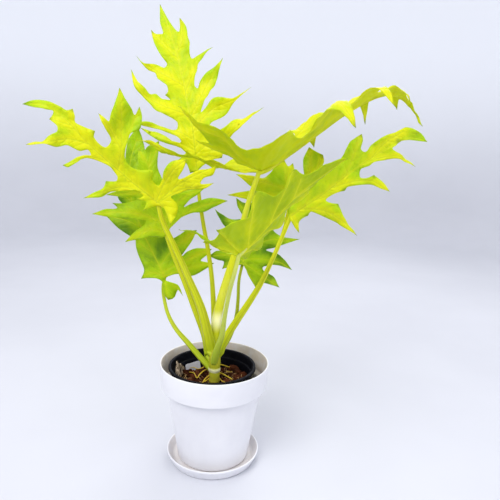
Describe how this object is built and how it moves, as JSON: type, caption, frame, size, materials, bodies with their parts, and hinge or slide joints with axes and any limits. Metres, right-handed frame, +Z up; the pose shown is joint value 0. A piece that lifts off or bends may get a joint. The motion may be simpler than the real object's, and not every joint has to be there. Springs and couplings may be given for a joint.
{
  "type": "potted philodendron selloum",
  "caption": "Young tree philodendron with deeply cut yellow-green leaves on long stalks, in a nursery pot inside a plain white pot on its saucer.",
  "frame": {"origin": "middle of the saucer's underside, on the axis of the white pot", "axes": "+Z up along the pot's axis; +Y away from the picture's camera; +X to the right of the picture"},
  "size_m": [0.4909, 0.2271, 0.6276],
  "materials": {
    "white_saucer": "satin white",
    "white_pot": "satin white",
    "black_pot": "thin black moulded",
    "soil": "coarse bark chips and coir",
    "tag": "plain, no writing",
    "dry_sheath": "dried, papery",
    "stem": "smooth green with a pale node ring",
    "petiole": "smooth, slightly glossy, grooved",
    "bright_leaf": "thin, slightly glossy, lets light through",
    "dark_leaf": "thin, slightly glossy, in shade"
  },
  "bodies": {
    "root": {"saucer": "white_saucer", "outer_pot": "white_pot", "nursery_pot": "black_pot", "soil": "soil", "plant_tag": "tag", "dry_sheath": "dry_sheath", "stem": "stem", "petiole_top": "petiole", "blade_top": "bright_leaf", "petiole_upper_left": "petiole", "blade_upper_left": "bright_leaf", "petiole_low_left": "petiole", "blade_low_left": "dark_leaf", "petiole_second_left": "petiole", "blade_second_left": "dark_leaf", "petiole_arching": "petiole", "blade_arching": "bright_leaf", "petiole_front": "petiole", "blade_front": "bright_leaf", "petiole_low_right": "petiole", "blade_low_right": "dark_leaf", "petiole_right": "petiole", "blade_right": "bright_leaf", "petiole_back_right": "petiole", "blade_back_right": "dark_leaf"}
  },
  "joints": []
}
